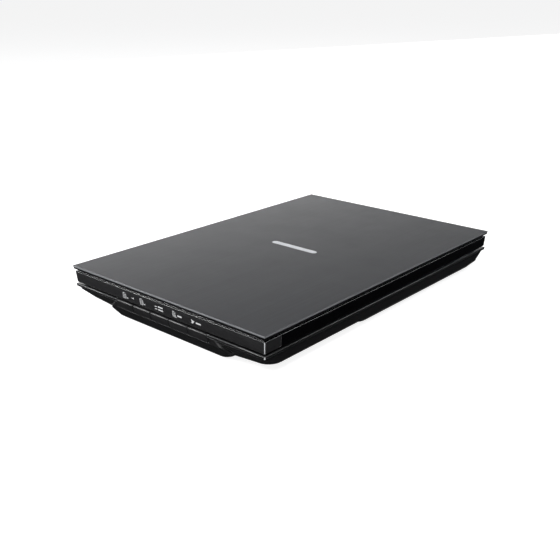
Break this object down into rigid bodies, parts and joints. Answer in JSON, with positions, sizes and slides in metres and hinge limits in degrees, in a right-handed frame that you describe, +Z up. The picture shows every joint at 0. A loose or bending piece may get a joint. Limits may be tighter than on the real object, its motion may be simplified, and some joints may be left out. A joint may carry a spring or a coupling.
{
  "type": "flatbed scanner",
  "caption": "Slim A4 flatbed scanner with a lifting hinged lid, glass platen, front function buttons and a rack-driven sensor carriage.",
  "frame": {"origin": "on the table, under the centre of the scanner's outline", "axes": "+Z up, +Y from the button side to the hinge side, +X to the right as seen from the button side"},
  "size_m": [0.25, 0.367, 0.042],
  "materials": {
    "top_panel": "fine brushed, satin dark grey",
    "name_plate": "satin bright",
    "gloss_black": "polished black",
    "label_black": "satin black",
    "case_black": "fine textured black",
    "button_black": "satin black",
    "foam_grey": "open foam",
    "mat_white": "matt white film",
    "rubber_grey": "matt",
    "steel_bright": "zinc plated",
    "rod_steel": "ground and polished",
    "gear_white": "natural acetal",
    "clear_glass": "clear float glass",
    "white_strip": "matt white",
    "board_green": "solder mask",
    "chip_black": "moulded epoxy",
    "plated_shell": "nickel plated",
    "cable_white": "ribbon film",
    "cable_grey": "ribbon film",
    "switch_black": "moulded nylon",
    "brass": "turned",
    "carriage_black": "glass filled nylon",
    "sensor_black": "moulded",
    "lens_glass": "row of rod lenses",
    "guide_clear": "clear acrylic",
    "rating_silver": "matt blank foil",
    "motor_steel": "drawn can"
  },
  "bodies": {
    "base": {"lower_case": "case_black", "upper_frame": "case_black", "platen_glass": "clear_glass", "calibration_strip": "white_strip", "rubber_feet": "rubber_grey", "case_screws": "steel_bright", "rating_plate": "rating_silver", "guide_rod": "rod_steel", "drive_rack": "gear_white", "main_board": "board_green", "board_chips": "chip_black", "usb_socket": "plated_shell", "board_screws": "steel_bright", "flex_cable": "cable_white", "button_cable": "cable_grey", "button_board": "board_green", "switch_housings": "switch_black"},
    "hinge_posts": {"hinge_post_left": "case_black", "hinge_post_right": "case_black"},
    "lid": {"lid_top_panel": "top_panel", "lid_carrier_plate": "gloss_black", "lid_badge": "name_plate", "lid_shell": "gloss_black", "label_strip": "label_black", "document_foam": "foam_grey", "document_sheet": "mat_white", "lid_bumpers": "rubber_grey", "hinge_bracket_left": "steel_bright", "hinge_bracket_right": "steel_bright", "hinge_pin_left": "rod_steel", "hinge_pin_right": "rod_steel", "bracket_screws": "steel_bright"},
    "carriage": {"carriage_frame": "carriage_black", "sensor_housing": "sensor_black", "lens_array": "lens_glass", "light_guide": "guide_clear", "sensor_board": "board_green", "glass_glides": "white_strip", "lift_springs": "steel_bright", "guide_bush": "brass", "motor_can": "motor_steel", "gear_pin": "rod_steel"},
    "rack_gear": {"drive_gear": "gear_white"},
    "motor_rotor": {"motor_pinion": "brass"},
    "button_1": {"button_cap_1": "button_black", "switch_plunger_1": "brass"},
    "button_2": {"button_cap_2": "button_black", "switch_plunger_2": "brass"},
    "button_3": {"button_cap_3": "button_black", "switch_plunger_3": "brass"},
    "button_4": {"button_cap_4": "button_black", "switch_plunger_4": "brass"},
    "button_5": {"button_cap_5": "button_black", "switch_plunger_5": "brass"}
  },
  "joints": [
    {"name": "hinge_lift", "type": "slide", "parent": "base", "child": "hinge_posts", "axis": [0, 0, 1], "range_m": [0, 0.012]},
    {"name": "lid_hinge", "type": "hinge", "parent": "hinge_posts", "child": "lid", "pos_m": [0, 0.178, 0.0295], "axis": [-1, 0, 0], "range_deg": [0, 105]},
    {"name": "carriage_slide", "type": "slide", "parent": "base", "child": "carriage", "axis": [0, 1, 0], "range_m": [0, 0.3075], "deforming": ["flex_cable"]},
    {"name": "rack_gear_spin", "type": "hinge", "parent": "carriage", "child": "rack_gear", "pos_m": [-0.016, -0.151, 0.0085], "axis": [0, 0, 1], "continuous": true},
    {"name": "motor_spin", "type": "hinge", "parent": "carriage", "child": "motor_rotor", "pos_m": [-0.02645, -0.1446, 0.0099], "axis": [0, 0, 1], "continuous": true},
    {"name": "button_1_press", "type": "slide", "parent": "base", "child": "button_1", "axis": [0, 1, 0], "range_m": [0, 0.0007], "stiffness_N_per_m": 1500, "springref_m": -0.0003},
    {"name": "button_2_press", "type": "slide", "parent": "base", "child": "button_2", "axis": [0, 1, 0], "range_m": [0, 0.0007], "stiffness_N_per_m": 1500, "springref_m": -0.0003},
    {"name": "button_3_press", "type": "slide", "parent": "base", "child": "button_3", "axis": [0, 1, 0], "range_m": [0, 0.0007], "stiffness_N_per_m": 1500, "springref_m": -0.0003},
    {"name": "button_4_press", "type": "slide", "parent": "base", "child": "button_4", "axis": [0, 1, 0], "range_m": [0, 0.0007], "stiffness_N_per_m": 1500, "springref_m": -0.0003},
    {"name": "button_5_press", "type": "slide", "parent": "base", "child": "button_5", "axis": [0, 1, 0], "range_m": [0, 0.0007], "stiffness_N_per_m": 1500, "springref_m": -0.0003}
  ],
  "couplings": [
    {"joint": "rack_gear_spin", "follows": "carriage_slide", "rad_per_m": 156.25},
    {"joint": "motor_spin", "follows": "carriage_slide", "rad_per_m": -390.62}
  ]
}
